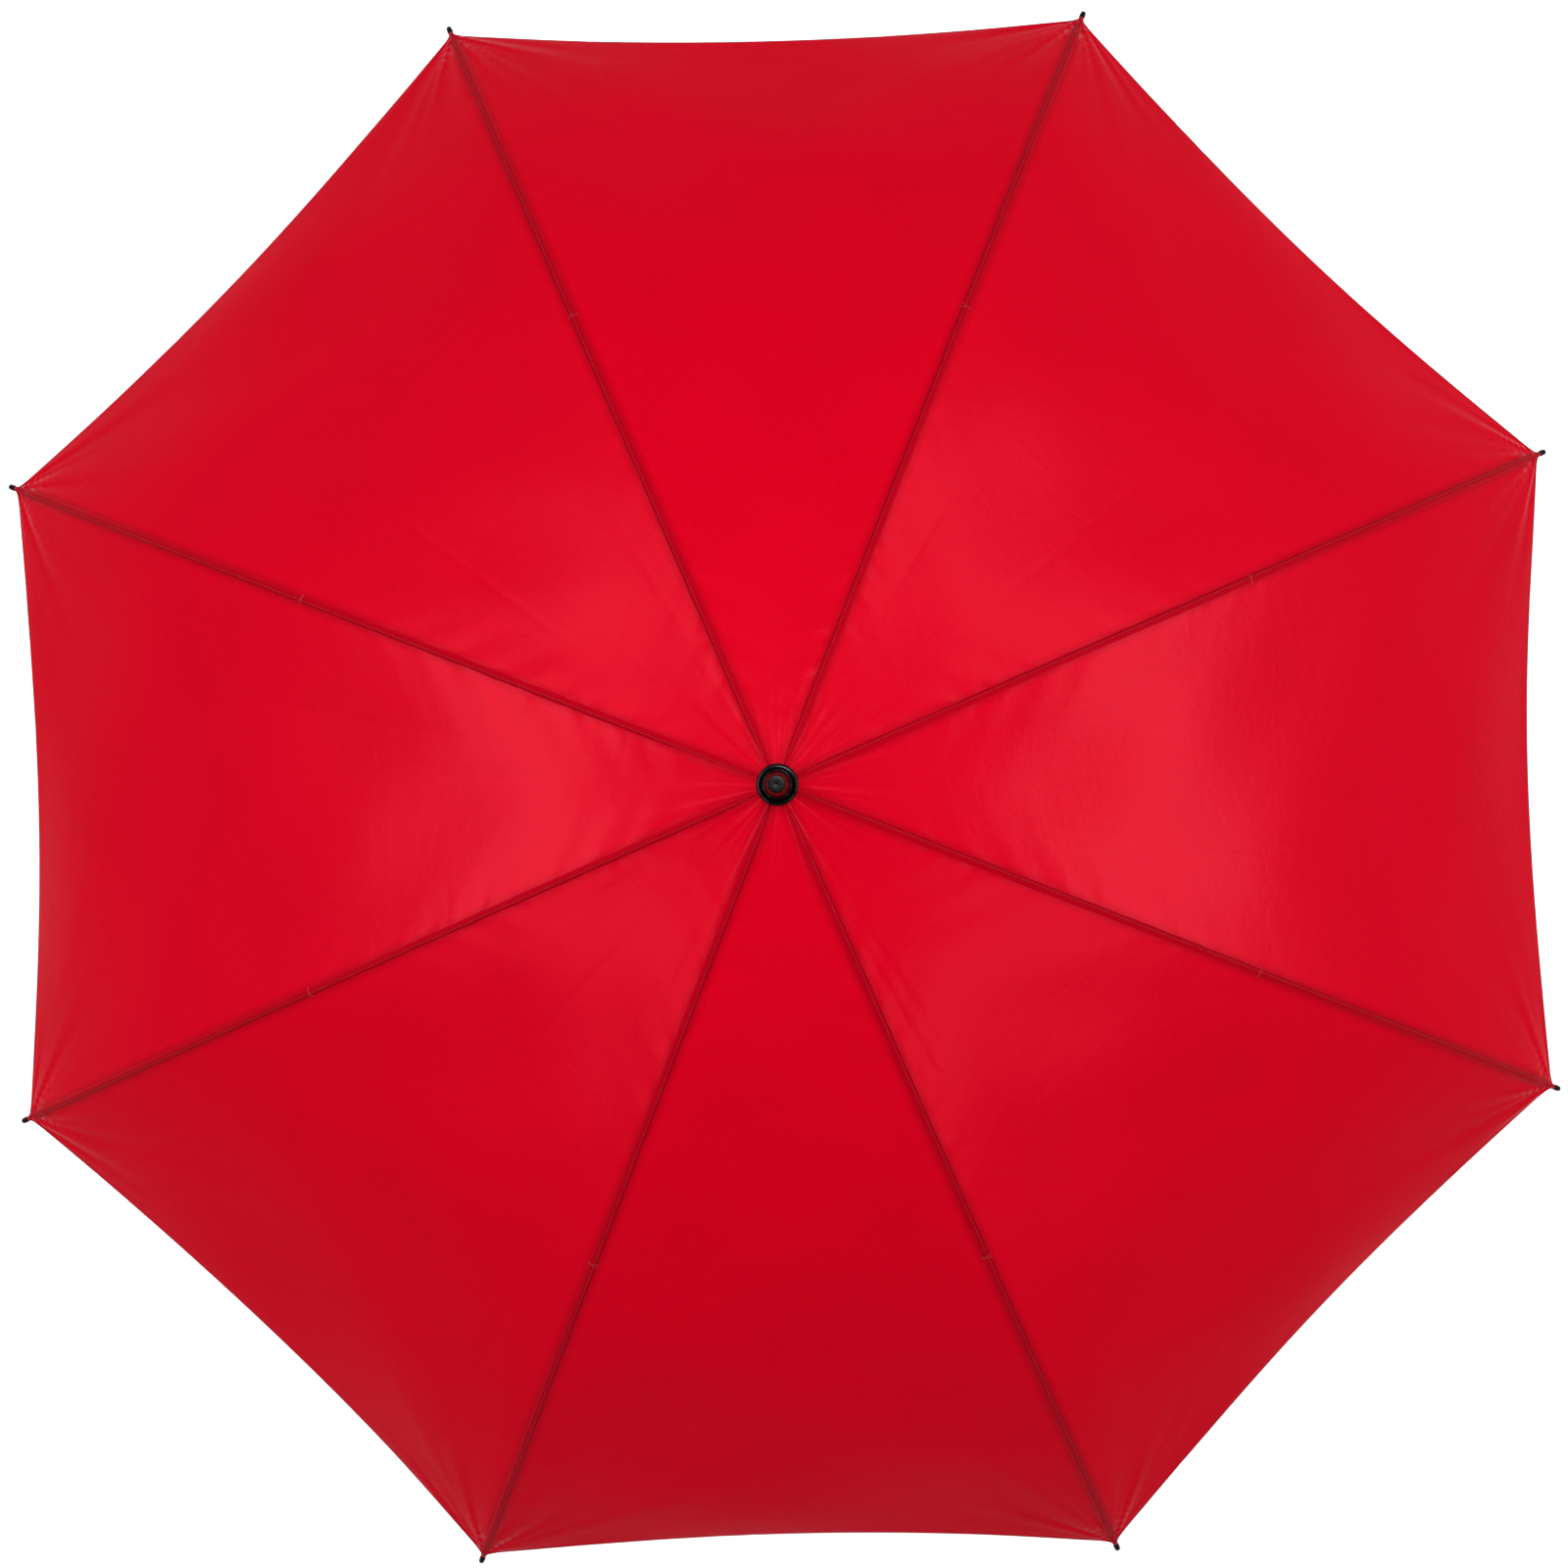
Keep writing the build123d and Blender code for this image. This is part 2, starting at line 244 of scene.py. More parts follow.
CANOPY = pongee("calendered polyester pongee", "#C4001A", "#CC001D")
SEAM = seam_polyester()
# Spun polyester thread: dull, darker than the cloth it sinks into.
THREAD = speckled("spun polyester thread", "#A80018", "#BC001C", 0.4, 0.3, 0.05, Roughness=0.7)
# Injection-moulded ABS, polished mould: deep black with sharp, faint reflections.
ABS = speckled("gloss moulded ABS", "#040404", "#080808", 8.0, 0.02, 0.05, Roughness=0.12, IOR=1.54,
               **{"Specular IOR Level": 0.25})
# The spike's own mould is less polished and rubs on the ground: black with dull, faint reflections.
SPIKE = speckled("satin moulded ABS", "#040404", "#080808", 8.0, 0.02, 0.05, Roughness=0.28, IOR=1.54,
                 **{"Specular IOR Level": 0.1})
# Injection-moulded nylon, spark-eroded mould: fine matt grain that hides sink marks.
NYLON = speckled("spark grain nylon", "#0F0F10", "#1A1A1B", 0.5, 0.35, 0.03, Roughness=0.5, IOR=1.53)
# Closed-cell EVA foam, ground on a mandrel: open pores, no gloss.
EVA = speckled("ground EVA foam", "#101011", "#202022", 0.9, 0.7, 0.12, 4.0, Roughness=0.9,
               **{"Sheen Weight": 0.2, "Sheen Roughness": 0.6})
# Roll-formed steel under black stoving enamel: satin, with faint orange peel.
ENAMEL = speckled("black stoving enamel", "#0B0B0C", "#131314", 2.5, 0.12, 0.02, Roughness=0.3, IOR=1.5,
                  **{"Coat Weight": 0.2, "Coat Roughness": 0.2})
# Bright zinc plate on drawn steel wire.
ZINC = speckled("bright zinc plate", "#A9ABAE", "#C2C4C6", 0.6, 0.1, 0.01, Roughness=0.28, Metallic=1.0)
# Pulled fibreglass rod in black resin: long faint glass streaks, silky.
FIBREGLASS = speckled("pulled black fibreglass", "#0C0C0D", "#191A1B", 0.7, 0.2, 0.02, Roughness=0.36, IOR=1.52)
# Woven hook tape: a dense mat of nylon hooks, almost lightless.
HOOKS = speckled("nylon hook tape", "#141415", "#38383B", 0.8, 1.0, 0.4, Roughness=0.85)


# ---- mesh tools ----
def piece(name, bm, mat, body, *replaced, slot=None):
    """Make a bmesh an object that rides on a body and stands for the replaced nodes."""
    mesh = bpy.data.meshes.new(name)
    bm.to_mesh(mesh)
    bm.free()
    obj = bpy.data.objects.new(name, mesh)
    bpy.context.scene.collection.objects.link(obj)
    mesh.materials.append(mat)
    mesh.polygons.foreach_set("use_smooth", [True] * len(mesh.polygons))
    mesh.set_sharp_from_angle(angle=radians(50))
    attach(obj, body)
    if replaced:
        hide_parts(*replaced)
    return obj


def spun(outline, steps=64):
    """Spin an outline of (radius, height) points in mm about the shaft into a closed shape."""
    bm = bmesh.new()
    verts = [bm.verts.new((r * MM, 0, z * MM)) for r, z in outline]
    edges = [bm.edges.new(pair) for pair in zip(verts, verts[1:] + verts[:1])]
    bmesh.ops.spin(
        bm, geom=verts + edges, cent=(0, 0, 0), axis=(0, 0, 1), angle=2 * pi, steps=steps, use_merge=True,
    )
    bmesh.ops.remove_doubles(bm, verts=bm.verts, dist=1e-6)
    bmesh.ops.recalc_face_normals(bm, faces=bm.faces)
    return bm


def rounded(outline, radius=0.4, steps=3):
    """Round the corners of a closed outline by cutting each one into a small arc."""
    out = []
    for i, here in enumerate(outline):
        before, here, after = (Vector(p) for p in (outline[i - 1], here, outline[(i + 1) % len(outline)]))
        back, on = before - here, after - here
        reach = min(radius, back.length * 0.4, on.length * 0.4)
        a, b = here + back.normalized() * reach, here + on.normalized() * reach
        for k in range(steps + 1):
            t = k / steps
            out.append(tuple((1 - t) ** 2 * a + 2 * t * (1 - t) * here + t * t * b))
    return out


def grid(columns, rows):
    """A flat grid of faces, and its points as two arrays that each run from 0 to 1."""
    bm = bmesh.new()
    bmesh.ops.create_grid(bm, x_segments=columns, y_segments=rows, size=0.5)
    points = np.array([v.co[:2] for v in bm.verts]) + 0.5
    return bm, points[:, 0], points[:, 1]


def place_points(bm, points):
    for vert, point in zip(bm.verts, points):
        vert.co = point


def carry(bm, **values):
    """Store numbers on a sheet's points; the back face that solidify makes takes them over."""
    for name, numbers in values.items():
        layer = bm.verts.layers.float.new(name)
        for vert, number in zip(bm.verts, numbers):
            vert[layer] = number


def carried(mesh, name):
    values = np.zeros(len(mesh.vertices), np.float32)
    mesh.attributes[name].data.foreach_get("value", values)
    return values.astype(float)


def corner_table(mesh):
    """The vertex and the face of every face corner."""
    corners, starts = np.zeros(len(mesh.loops), np.int32), np.zeros(len(mesh.polygons), np.int32)
    mesh.loops.foreach_get("vertex_index", corners)
    mesh.polygons.foreach_get("loop_start", starts)
    faces = np.searchsorted(starts, np.arange(len(corners)), side="right") - 1
    return corners, faces, starts


def shade_sheet(mesh, front_count, outward):
    """Shade the front by the surface's own normals, the back by their opposite and the edge flat."""
    corners, faces, starts = corner_table(mesh)
    back = np.add.reduceat((corners >= front_count).astype(int), starts)[faces]
    flat = np.array([face.normal for face in mesh.polygons])[faces]
    on_front, on_back = (back == 0)[:, None], (back == 4)[:, None]
    normals = np.where(on_front, outward[corners], np.where(on_back, -outward[corners], flat))
    mesh.normals_split_custom_set(normals.tolist())


def lay_out(mesh, across, along):
    """A flat layout of the cloth in metres, for the weave."""
    corners, _, _ = corner_table(mesh)
    uv = mesh.uv_layers.new(name="cloth")
    uv.data.foreach_set("uv", np.stack([across, along], -1)[corners].astype(np.float32).ravel())


# ---- the canopy's surface ----
def slope_at(s):
    """A rib's slope below the horizontal."""
    return START + s / BEND


def rib_line(s, lift):
    """Distance from the shaft and height, at s along an open rib and lift above its middle line."""
    angle = slope_at(s)
    return BEND_X + (BEND + lift) * np.sin(angle), BEND_Z + (BEND + lift) * np.cos(angle)


def creases(panel):
    """The seeded places of one panel's creases. The wave uses four of its six; the fold's draws come after."""
    rng = np.random.default_rng(100 + panel)
    return {
        "tip": rng.uniform(0, 2 * pi, (2, 3)),
        "pucker": rng.uniform(0, 2 * pi, (2, 4)),
        "crown": rng.uniform(0, 2 * pi, 3),
        "wave": rng.uniform(0, 2 * pi, 6),
        "fold": np.stack([
            rng.uniform(-0.75, 0.75, 3), rng.uniform(-0.25, 0.25, 3), rng.uniform(0.4, 1.0, 3),
        ], 1),
    }


CREASES = [creases(k) for k in range(PANELS)]


def tip_fan(to_tip, from_rib, phases):
    """Tension folds that fan out from a rib's tip and die away within a hand's width."""
    away, turn = np.hypot(to_tip, from_rib), np.arctan2(from_rib, to_tip + 1e-6)
    fade = (1 - np.exp(-away / 0.010)) * np.exp(-away / 0.10)
    a, b, c = phases
    fan = np.sin(9 * turn + a) + 0.6 * np.sin(15 * turn + b + away * 25) + 0.4 * np.sin(23 * turn + c)
    return 0.27 * MM * fade * fan * np.clip(turn * 6, 0, 1)


def puckers(s, from_rib, phases):
    """Gathers every 17 mm along a seam, and longer ones that lean away from it, strongest near the crown."""
    a, b, c, d = phases
    ripple = np.sin(2 * pi * s / 0.0170 + a + 1.6 * np.sin(s * 31 + b))
    ripple = ripple * (0.55 + 0.45 * np.sin(s * 23 + c))
    lean = np.sin(2 * pi * (s + 0.6 * from_rib) / 0.041 + d)
    strength = 0.10 + 0.32 * np.exp(-(((s - 0.16) / 0.13) ** 2))
    both = 0.8 * ripple * np.exp(-from_rib / 0.007) + lean * np.exp(-from_rib / 0.022) * 0.7
    return MM * strength * both * np.clip((from_rib - 0.002) / 0.004, 0, 1)


def crown_pleats(v, reach, off_rib, phases):
    """Small pleats where the cloth is drawn in round the cap."""
    a, b, c = phases
    pleats = np.sin(7 * v + a) + 0.7 * np.sin(13 * v + b) + 0.4 * np.sin(21 * v + c)
    return 0.21 * MM * pleats * np.exp(-(((reach - 0.05) / 0.055) ** 2)) * np.clip(off_rib * 4, 0, 1)


def furled_crease(s, v, half_width, crease):
    """Depth of one long crease that the furled cloth has kept."""
    middle, tilt, depth = crease
    sideways = (v - middle - tilt * (s - 0.36)) * half_width
    groove = 0.32 * MM * depth * np.exp(-((sideways / 0.0035) ** 2)) * np.clip(s * 6, 0, 1)
    return groove * (0.55 + 0.45 * np.sin(s * 14 + 9 * middle))


def slow_wave(s, v, off_rib, phases):
    """Uneven tension: a wave a hand's width long that leaves the ribs and the crown alone."""
    a, b, c, d = phases[:4]
    wave = np.sin(s * 13 + a) * np.cos(v * 1.9 + b) + 0.6 * np.sin(s * 24 + v * 3 + c)
    wave = wave + 0.35 * np.sin(s * 41 - v * 4.2 + d)
    return 1.0 * MM * wave * np.clip(off_rib * 2.2, 0, 1) * np.clip(s * 5, 0, 1)


def relief(s, v, panel):
    """Height of the cloth's wrinkles, bow and hem fold above the straight lines between the ribs."""
    seeded = CREASES[panel]
    reach, _ = rib_line(s, CLOTH_TOP)
    half_width = reach * sin(HALF)
    off_rib = 1 - np.abs(v)
    to_hem = CLOTH_S[1] - s
    height = np.zeros_like(s)
    for side, sign in enumerate((-1, 1)):
        from_rib = (1 - sign * v) * half_width
        height += tip_fan(np.maximum(to_hem, 0), from_rib, seeded["tip"][side])
        height += puckers(s, from_rib, seeded["pucker"][side])
    height += crown_pleats(v, reach, off_rib, seeded["crown"])
    for crease in seeded["fold"]:
        height -= furled_crease(s, v, half_width, crease)
    height += slow_wave(s, v, off_rib, seeded["wave"])
    height -= BOW * (np.cos(v * pi / 2) ** 2) * np.clip(s / 0.3, 0, 1)
    return height + HEM_LIFT * np.clip((HEM_FOLD - to_hem) / MM, 0, 1)


def settle(s, from_rib):
    """How far the cloth comes down onto the tips, at the end of each rib."""
    t = np.clip((s - SETTLE_FROM) / SETTLE_RUN, 0, 1)
    return SETTLE * t * t * (3 - 2 * t) * np.exp(-from_rib / SETTLE_REACH)


def cloth_point(s, v, panel, lift=0.0):
    """The cloth's outer face: s runs along the ribs, v from -1 at one rib to 1 at the next."""
    reach, _ = rib_line(s, CLOTH_TOP)
    half_width = reach * sin(HALF)
    off_rib = 1 - np.abs(v)
    from_rib = off_rib * half_width
    near_hem = np.clip((s - DRAWN_FROM) / (CLOTH_S[1] - DRAWN_FROM), 0, 1)
    drawn_in = near_hem**4 * HEM_SAG * (1 - v**2)
    drawn_in = drawn_in + near_hem**14 * NECK * (1 - np.exp(-from_rib / NECK_REACH))
    x = reach * cos(HALF) - drawn_in
    # The cloth runs level from rib to rib, so its height is that of the ribs at the line's two ends.
    equal_reach = x / cos(HALF) - BEND_X
    rise = np.sqrt((BEND + CLOTH_TOP) ** 2 - equal_reach**2)
    z = BEND_Z + rise
    slope = np.arctan(equal_reach / rise / cos(HALF))
    height = relief(s, v, panel) + lift - settle(s, from_rib)
    local = np.stack([x + height * np.sin(slope), v * half_width, z + height * np.cos(slope)], -1)
    turn = 2 * HALF * (panel + 1)
    spin = np.array([[cos(turn), sin(turn), 0], [-sin(turn), cos(turn), 0], [0, 0, 1]])
    return local @ spin


def cloth_normal(s, v, panel):
    """Outward normals of the cloth, by small steps along its two directions."""
    ds, dv = 4e-4, 4e-3
    along = cloth_point(s + ds, v, panel) - cloth_point(s - ds, v, panel)
    across = cloth_point(s, v + dv, panel) - cloth_point(s, v - dv, panel)
    normal = np.cross(along, across)
    return normal / np.linalg.norm(normal, axis=1, keepdims=True)


def turned_to(azimuth, reach, height):
    """The point at a distance from the shaft and a height, on a rib's azimuth."""
    return Vector((reach * cos(azimuth), reach * sin(azimuth), height))


def gather(obj):
    """Give a piece of cloth its own copy of its mesh."""
    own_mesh(obj)


def half_panel(rib, side, span):
    """One side of a rib: the cloth from the seam to the panel's middle, over one span of the rib."""
    start, end = span.start, span.end
    panel = (rib if side > 0 else rib - 1) % PANELS
    bm, u, t = grid(PANEL_COLUMNS, span.rows)
    s = start + (end - start) * t
    # The columns crowd towards the seam, where the small puckers are.
    v = -side * (1 - u**1.25)
    place_points(bm, cloth_point(s, v, panel))
    if side > 0:
        bmesh.ops.reverse_faces(bm, faces=bm.faces)
    width = rib_line(s, CLOTH_TOP)[0] * sin(HALF)
    carry(bm, along=s, across=v, seam_mm=(1 - np.abs(v)) * width / MM, hem_mm=(CLOTH_S[1] - s) / MM)
    bmesh.ops.solidify(bm, geom=bm.faces, thickness=CLOTH_THICK)
    name = f"canopy_{span.name}_{'left' if side > 0 else 'right'}_{rib + 1}"
    obj = piece(name, bm, CANOPY, f"{span.body}_{rib + 1}", slot="red_cloth")
    s, v = carried(obj.data, "along"), carried(obj.data, "across")
    shade_sheet(obj.data, len(u), cloth_normal(s, v, panel))
    lay_out(obj.data, v * rib_line(s, CLOTH_TOP)[0] * sin(HALF), s)
    gather(obj)


def ridge_frame(s, azimuth):
    """Points and upward normals along the seam over one rib."""
    reach, height = rib_line(s, CLOTH_TOP)
    angle = slope_at(s)
    points = np.stack([reach * cos(azimuth), reach * sin(azimuth), height], -1)
    ups = np.stack([np.sin(angle) * cos(azimuth), np.sin(angle) * sin(azimuth), np.cos(angle)], -1)
    return points, ups


def over_seam(s, offset, azimuth, lift):
    """Points at a sideways offset from the seam, on the two panels that slope away from it."""
    points, ups = ridge_frame(s, azimuth)
    sideways = np.array([-sin(azimuth), cos(azimuth), 0])
    fall = np.sin(slope_at(s)) * tan(HALF) * np.abs(offset)
    return points + sideways * offset[:, None] + ups * (lift - fall - settle(s, np.abs(offset)))[:, None]


def seam_band(rib, start, end, body, label):
    """The felled seam: a low rounded band over the rib, with the fold's step along one edge."""
    bm, u, t = grid(12, int((end - start) / 0.003))  # rows 3 mm apart
    s = start + (end - start) * t
    across = 2 * u - 1
    # The band narrows under the cap and again at the tip.
    narrow = BAND_HALF * np.clip(0.45 + (s - 0.004) / 0.05, 0, 1)
    narrow = narrow * np.clip(0.5 + (CLOTH_S[1] - s) / 0.03, 0, 1)
    wobble = 0.15 * MM * np.sin(s * 90 + rib) + 0.1 * MM * np.sin(s * 211 + 2 * rib)
    step = np.where(across > 0.45, 0.12, 0.42) * MM
    height = step * (1 - across**6) - 0.12 * MM * across**6
    height += 0.05 * MM * np.sin(2 * pi * s / 0.0027) * np.exp(-(((across - 0.2) / 0.25) ** 2))
    place_points(bm, over_seam(s, across * narrow + wobble * (1 - across**2), RIB_AZIMUTHS[rib], height))
    carry(bm, across=u)
    bmesh.ops.solidify(bm, geom=bm.faces, thickness=0.3 * MM)
    piece(f"seam_band_{label}_{rib + 1}", bm, SEAM, f"{body}_{rib + 1}", slot="red_cloth")


def stitch_row(rib, start, end, body, label):
    """One row of lock stitches along the seam, each a small flattened bead of thread."""
    bm = bmesh.new()
    azimuth = RIB_AZIMUTHS[rib]
    count = int((end - start) / STITCH_PITCH)
    s = start + STITCH_PITCH * (np.arange(count) + 0.5)
    places = over_seam(s, np.full(count, 0.2 * BAND_HALF), azimuth, np.full(count, 0.55 * MM))
    for at, place in zip(s, places):
        turn = Matrix.Rotation(azimuth, 4, "Z") @ Matrix.Rotation(slope_at(float(at)), 4, "Y")
        sized = Matrix.Translation(place) @ turn @ Matrix.Diagonal((*STITCH_SIZE, 1))
        verts = bmesh.ops.create_cube(bm, size=1.0, matrix=sized)["verts"]
        up = turn.to_3x3() @ Vector((0, 0, 1))
        top = sorted(verts, key=lambda v: -up.dot(v.co))[:4]
        middle = sum((v.co for v in top), Vector()) / 4
        for vert in top:
            vert.co = middle + (vert.co - middle) * 0.6
    piece(f"seam_thread_{label}_{rib + 1}", bm, THREAD, f"{body}_{rib + 1}", slot="red_cloth")


def rib_tie(rib):
    """The two turns of thread that tie the seam to the rib, just beyond the middle."""
    bm = bmesh.new()
    offsets = np.linspace(-1.25, 1.25, 9) * BAND_HALF
    lift = 0.65 * MM * (1 - (offsets / (1.3 * BAND_HALF)) ** 4)
    for shift, slant in ((-0.6 * MM, -0.2), (0.5 * MM, 0.35)):
        points = over_seam(np.full(9, TIE_S + shift) + offsets * slant, offsets, RIB_AZIMUTHS[rib], lift)
        ring = bmesh.ops.create_circle(bm, cap_ends=True, radius=0.3 * MM, segments=8)["verts"]
        face = ring[0].link_faces[0]
        tangent = Vector(points[1]) - Vector(points[0])
        turn = tangent.to_track_quat("Z", "Y").to_matrix().to_4x4()
        bmesh.ops.transform(bm, verts=ring, matrix=Matrix.Translation(points[0]) @ turn)
        for before, after in zip(points[:-1], points[1:]):
            grown = bmesh.ops.extrude_face_region(bm, geom=[face])["geom"]
            verts = [g for g in grown if isinstance(g, bmesh.types.BMVert)]
            bmesh.ops.delete(bm, geom=[face], context="FACES_ONLY")
            face = next(g for g in grown if isinstance(g, bmesh.types.BMFace))
            bmesh.ops.translate(bm, verts=verts, vec=Vector(after) - Vector(before))
    bmesh.ops.recalc_face_normals(bm, faces=bm.faces)
    piece(f"rib_tie_{rib + 1}", bm, THREAD, f"rib_end_{rib + 1}", slot="red_cloth")


for rib in range(PANELS):
    for span in SPANS:
        for side in (1, -1):
            half_panel(rib, side, span)
    seam_band(rib, 0.002, RIVET_S, "rib", "inner")
    seam_band(rib, RIVET_S, CLOTH_S[1] - 0.001, "rib_end", "outer")
    stitch_row(rib, 0.010, RIVET_S, "rib", "inner")
    stitch_row(rib, RIVET_S, CLOTH_S[1] - 0.006, "rib_end", "outer")
    rib_tie(rib)
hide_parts("canopy")


# ---- cap, spike and tips ----
def cap_and_spike():
    """The flanged cap that holds the cloth down, and the spike above it."""
    z = CROWN_Z / MM
    washer = rounded([
        (7.0, z + 5.3), (13.0, z + 4.0), (14.7, z + 4.5), (15.0, z + 5.6), (14.7, z + 6.8), (13.9, z + 7.7),
        (12.9, z + 8.0), (11.9, z + 7.7), (11.2, z + 7.0), (10.7, z + 6.6), (10.3, z + 7.4), (10.2, z + 10.0),
        (7.0, z + 10.0),
    ], 0.5, 3)
    piece("cap_washer", spun(washer, 96), ABS, "frame", "ferrule_washer", slot="black_plastic")
    spike = rounded([
        (7.02, z + 10.0), (9.8, z + 10.0), (9.75, z + 13.0), (9.2, z + 14.2), (6.3, SPIKE_TOP),
        (0.0, SPIKE_TOP), (0.0, z + 30.5), (7.02, z + 30.5),
    ], 0.7, 4)
    spike = [(max(r, 0.0), h) for r, h in spike]
    piece("cap_spike", spun(spike, 96), SPIKE, "frame", "ferrule_spike", slot="black_plastic")


def rib_tip(rib):
    """A moulded tip: a bored sleeve over the rod, a waist for the corner stitches and a round nose."""
    outside = [
        (1.62, -22), (2.3, -22), (2.4, -20), (2.4, -10.5), (1.9, -9.2), (1.85, -7.6), (2.3, -6.6), (2.4, -5.5),
        (2.4, -1.9), (2.15, -0.8),
    ]
    nose_and_bore = [(1.4, -0.15), (0.0, 0.0), (0.0, -8.0), (1.62, -8.0)]
    bm = spun(rounded(outside, 0.3, 2) + nose_and_bore, 24)
    azimuth = RIB_AZIMUTHS[rib]
    for vert in bm.verts:
        s = TIP_S + vert.co.z
        reach, height = (float(x) for x in rib_line(np.array(s), vert.co.x))
        vert.co = turned_to(azimuth, reach, height) + Vector((-sin(azimuth), cos(azimuth), 0)) * vert.co.y
    bmesh.ops.recalc_face_normals(bm, faces=bm.faces)
    piece(f"tip_{rib + 1}", bm, ABS, f"rib_end_{rib + 1}", f"rib_tip_{rib + 1}", slot="black_plastic")


cap_and_spike()
for rib in range(PANELS):
    rib_tip(rib)


# ---- handle ----
def handle():
    """The foam sleeve, the end cap with its groove, and the neck that tapers to the shaft."""
    foam = rounded([(9.5, 12.0), (17.0, 12.0), (17.0, 166.0), (9.5, 166.0)], 2.6, 5)
    piece("grip_sleeve", spun(foam, 72), EVA, "frame", "grip_foam", slot="foam")
    cap = rounded([
        (0, 0.0), (14.6, 0.0), (16.4, 1.4), (16.8, 4.0), (16.8, 7.6), (16.3, 8.0), (16.3, 8.8), (16.8, 9.2),
        (16.8, 12.0), (0, 12.0),
    ], 0.8, 3)
    cap = [(max(r, 0.0), h) for r, h in cap]
    piece("grip_cap", spun(cap, 72), NYLON, "frame", "grip_end_cap", slot="matt_plastic")
    collar = rounded([
        (7.0, 166.0), (16.2, 166.0), (15.8, 168.6), (14.2, 171.0), (10.4, 178.0), (9.4, 180.0), (7.0, 180.0),
    ], 0.9, 4)
    piece("grip_neck", spun(collar, 72), NYLON, "frame", "grip_collar", slot="matt_plastic")


handle()


# ---- strap under the rear panel's hem ----
def strap_point(s, across_mm, depth_mm):
    """Points under the strap's panel, across_mm from the strap's middle line and depth_mm below the cloth."""
    reach, _ = rib_line(s, CLOTH_TOP)
    v = (STRAP_OFFSET + across_mm) * MM / (reach * sin(HALF))
    return cloth_point(s, v, STRAP_PANEL, -depth_mm * MM)


def strap_cloth(name, bm, u, s, thickness, mat, slot):
    """Make one layer of the strap a piece that goes with the outer cloth beside it."""
    far = np.full(len(s), FAR_MM)
    carry(bm, along=s, across=u, seam_mm=far, hem_mm=far)
    bmesh.ops.solidify(bm, geom=bm.faces, thickness=thickness)
    obj = piece(name, bm, mat, f"rib_end_{STRAP_RIB + 1}", slot=slot)
    lay_out(obj.data, carried(obj.data, "across") * STRAP_WIDTH * MM, carried(obj.data, "along"))
    gather(obj)
    return obj


def strap():
    """The tie strap, folded back on itself under its panel, and the hook patch on its free end."""
    bm, u, t = grid(10, 180)
    # t runs along the whole strap; the middle 3 % of it turns back on itself.
    turning = 0.03
    turn = np.clip((t - 0.5) / turning, -0.5, 0.5) * pi + pi / 2
    straight = np.clip(np.abs(t - 0.5) - turning / 2, 0, 1) / (0.5 - turning / 2)
    s = STRAP_FOLD - straight * STRAP_FOLDED * MM + STRAP_TURN * MM * np.sin(turn)
    depth = STRAP_DEPTH + STRAP_TURN * (1 - np.cos(turn))
    place_points(bm, strap_point(s, STRAP_WIDTH * (u - 0.5), depth))
    cloth = strap_cloth("strap_folded", bm, u, s, -0.45 * MM, CANOPY, "red_cloth")
    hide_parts("tie_strap")

    bm, u, t = grid(8, 12)
    s = STRAP_FOLD - (STRAP_FOLDED - HOOK_INSET - HOOK_LENGTH * t) * MM
    edge = np.minimum(np.minimum(u, 1 - u) * HOOK_WIDTH, np.minimum(t, 1 - t) * HOOK_LENGTH)
    depth = STRAP_DEPTH + 2 * STRAP_TURN + HOOK_GAP + HOOK_PILE * (1 - np.exp(-edge / 0.5))
    place_points(bm, strap_point(s, HOOK_WIDTH * (u - 0.5), depth))
    patch = strap_cloth("strap_hook_patch", bm, u, s, -0.5 * MM, HOOKS, None)


strap()


# ---- finishes of the frame's own pieces ----
FINISHES = {
    "shaft_tube": ENAMEL, "rib_channel": ENAMEL, "stretcher": ENAMEL, "rib_rod": FIBREGLASS, "rib_joint": NYLON,
    "crown_notch": NYLON, "runner_notch": NYLON, "runner_sleeve": NYLON, "grip_core": NYLON, "crown_wire": ZINC,
    "runner_wire": ZINC, "runner_stop": ZINC, "catch_pins": ZINC, "top_catch": ZINC, "bottom_catch": ZINC,
}
for node_name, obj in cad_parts.items():
    finish = FINISHES.get(node_name) or FINISHES.get(node_name.rstrip("0123456789").rstrip("_"))
    if finish:
        obj.data.materials.clear()
        obj.data.materials.append(finish)


# ---- floor, lights and camera ----
SENSOR = 36.0  # mm
CAMERA_ABOVE = 3.0  # metres above the tips
VIEW_LENGTH, VIEW_SHARE = 0.6528, 0.53  # a length at the tips' height, and its share of the view's width
CAMERA_ROLL = radians(1.25)
CORNER_LIGHTS = (  # azimuth in degrees, distance from the shaft, height, watts
    (45, 2.06, 2.61, 7), (135, 1.81, 2.81, 6), (225, 1.81, 2.81, 6), (315, 2.06, 2.61, 6),
)


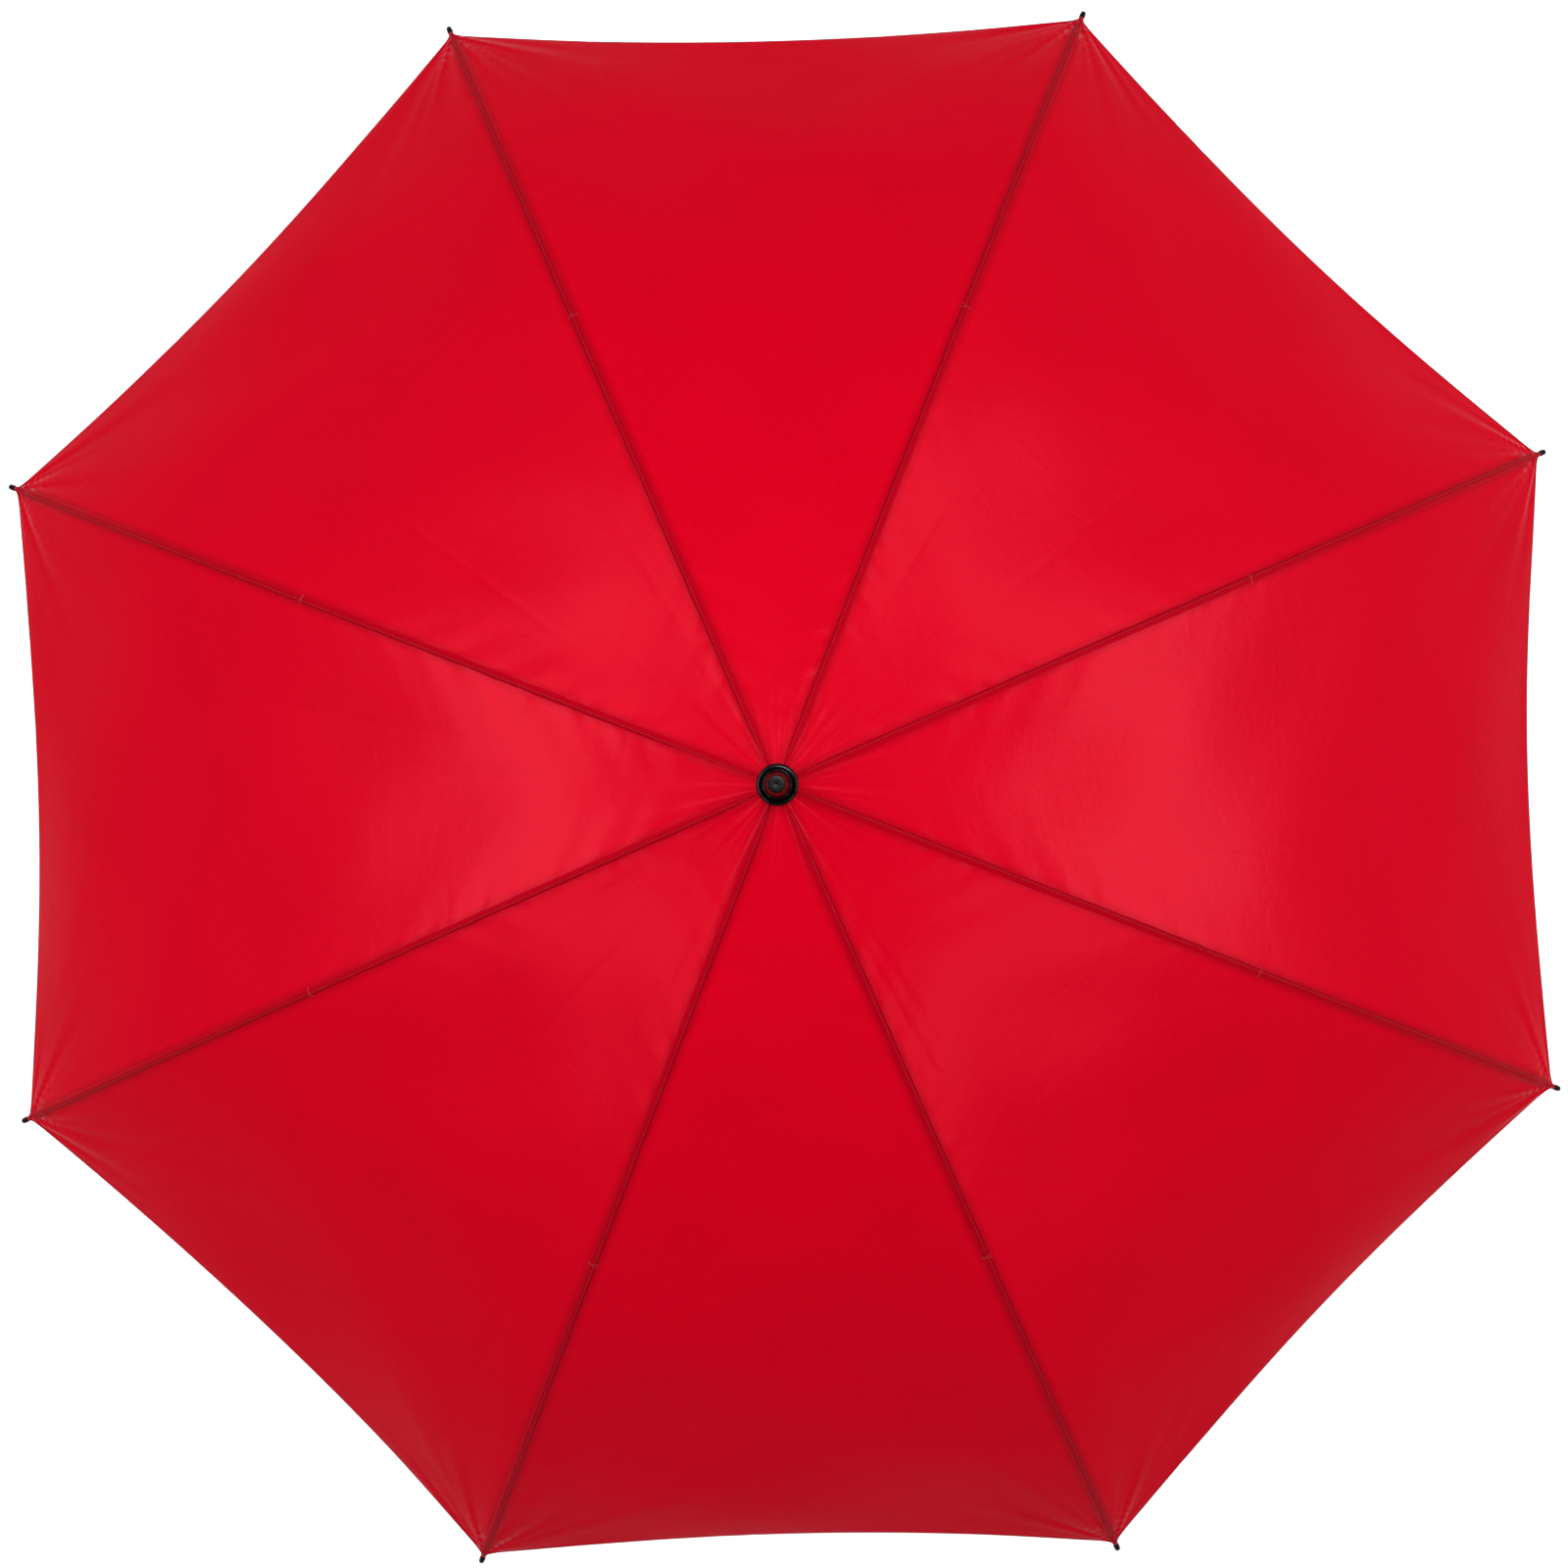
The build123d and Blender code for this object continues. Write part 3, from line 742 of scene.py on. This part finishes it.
def floor():
    """A pale floor, white under the object and fading to grey further out, so that no horizon shows."""
    bm = bmesh.new()
    bmesh.ops.create_grid(bm, x_segments=1, y_segments=1, size=30)
    mesh = bpy.data.meshes.new("floor")
    bm.to_mesh(mesh)
    bm.free()
    obj = bpy.data.objects.new("floor", mesh)
    bpy.context.scene.collection.objects.link(obj)
    mat, tree, shader = material("matt white floor", Roughness=0.9)
    place = add(tree, "ShaderNodeTexCoord").outputs["Object"]
    away = add(tree, "ShaderNodeVectorMath", [(0, place)], operation="LENGTH").outputs["Value"]
    reach = add(tree, "ShaderNodeMapRange", [("Value", away)], sockets={"From Min": 1.3, "From Max": 4.5})
    for socket, near, far in (("Base Color", "#F8F8F8", "#505050"), ("Emission Color", "#FFFFFF", "#7A7A7A")):
        tree.links.new(two_tone(tree, reach.outputs["Result"], near, far), shader.inputs[socket])
    shader.inputs["Emission Strength"].default_value = 0.66
    mesh.materials.append(mat)


def softbox(name, place, target, size, power):
    """A white rectangular area light that faces target; power is in watts."""
    light = bpy.data.lights.new(name, "AREA")
    light.shape, light.size, light.size_y, light.energy = "RECTANGLE", size[0], size[1], power
    obj = bpy.data.objects.new(name, light)
    obj.location = place
    obj.rotation_euler = (Vector(target) - Vector(place)).to_track_quat("-Z", "Y").to_euler()
    bpy.context.scene.collection.objects.link(obj)


def camera():
    """Straight above the cap but for a small lean, so far up that the tips nearly fill the view."""
    tips_z = float(rib_line(np.array(TIP_S), 0.0)[1])
    data = bpy.data.cameras.new("camera")
    data.sensor_width = SENSOR
    data.lens = SENSOR * VIEW_SHARE * CAMERA_ABOVE / VIEW_LENGTH
    obj = bpy.data.objects.new("camera", data)
    place = Vector((0.034, -0.016, tips_z + CAMERA_ABOVE))
    target = Vector((0.0012, 0.0023, tips_z))
    obj.location = place
    ahead = (target - place).normalized()
    right = ahead.cross(Vector((sin(CAMERA_ROLL), cos(CAMERA_ROLL), 0))).normalized()
    obj.rotation_euler = Matrix((right, right.cross(ahead), -ahead)).transposed().to_euler()
    bpy.context.scene.collection.objects.link(obj)
    bpy.context.scene.camera = obj


floor()
softbox("left softbox", (-1.97, 0.25, 2.65), (-0.2, 0.25, 0.88), (2.3, 0.55), 34)
softbox("right softbox", (2.31, 0.35, 2.36), (0.31, 0.35, 0.86), (2.4, 0.50), 32)
softbox("top softbox", (0.25, 0.8, 4.5), (0, 0, 0.85), (0.62, 0.62), 60)
for turn, out, height, power in CORNER_LIGHTS:
    x, y = out * cos(radians(turn)), out * sin(radians(turn))
    softbox(f"corner softbox {turn}", (x, y, height), (x * 0.12, y * 0.12, 0.88), (0.75, 0.5), power)
world = bpy.data.worlds.new("studio")
bpy.context.scene.world = world
world.use_nodes = True
background = world.node_tree.nodes["Background"]
background.inputs["Color"].default_value = linear("#FFFFFF")
background.inputs["Strength"].default_value = 0.13
bpy.context.scene.view_settings.view_transform = "Standard"
camera()
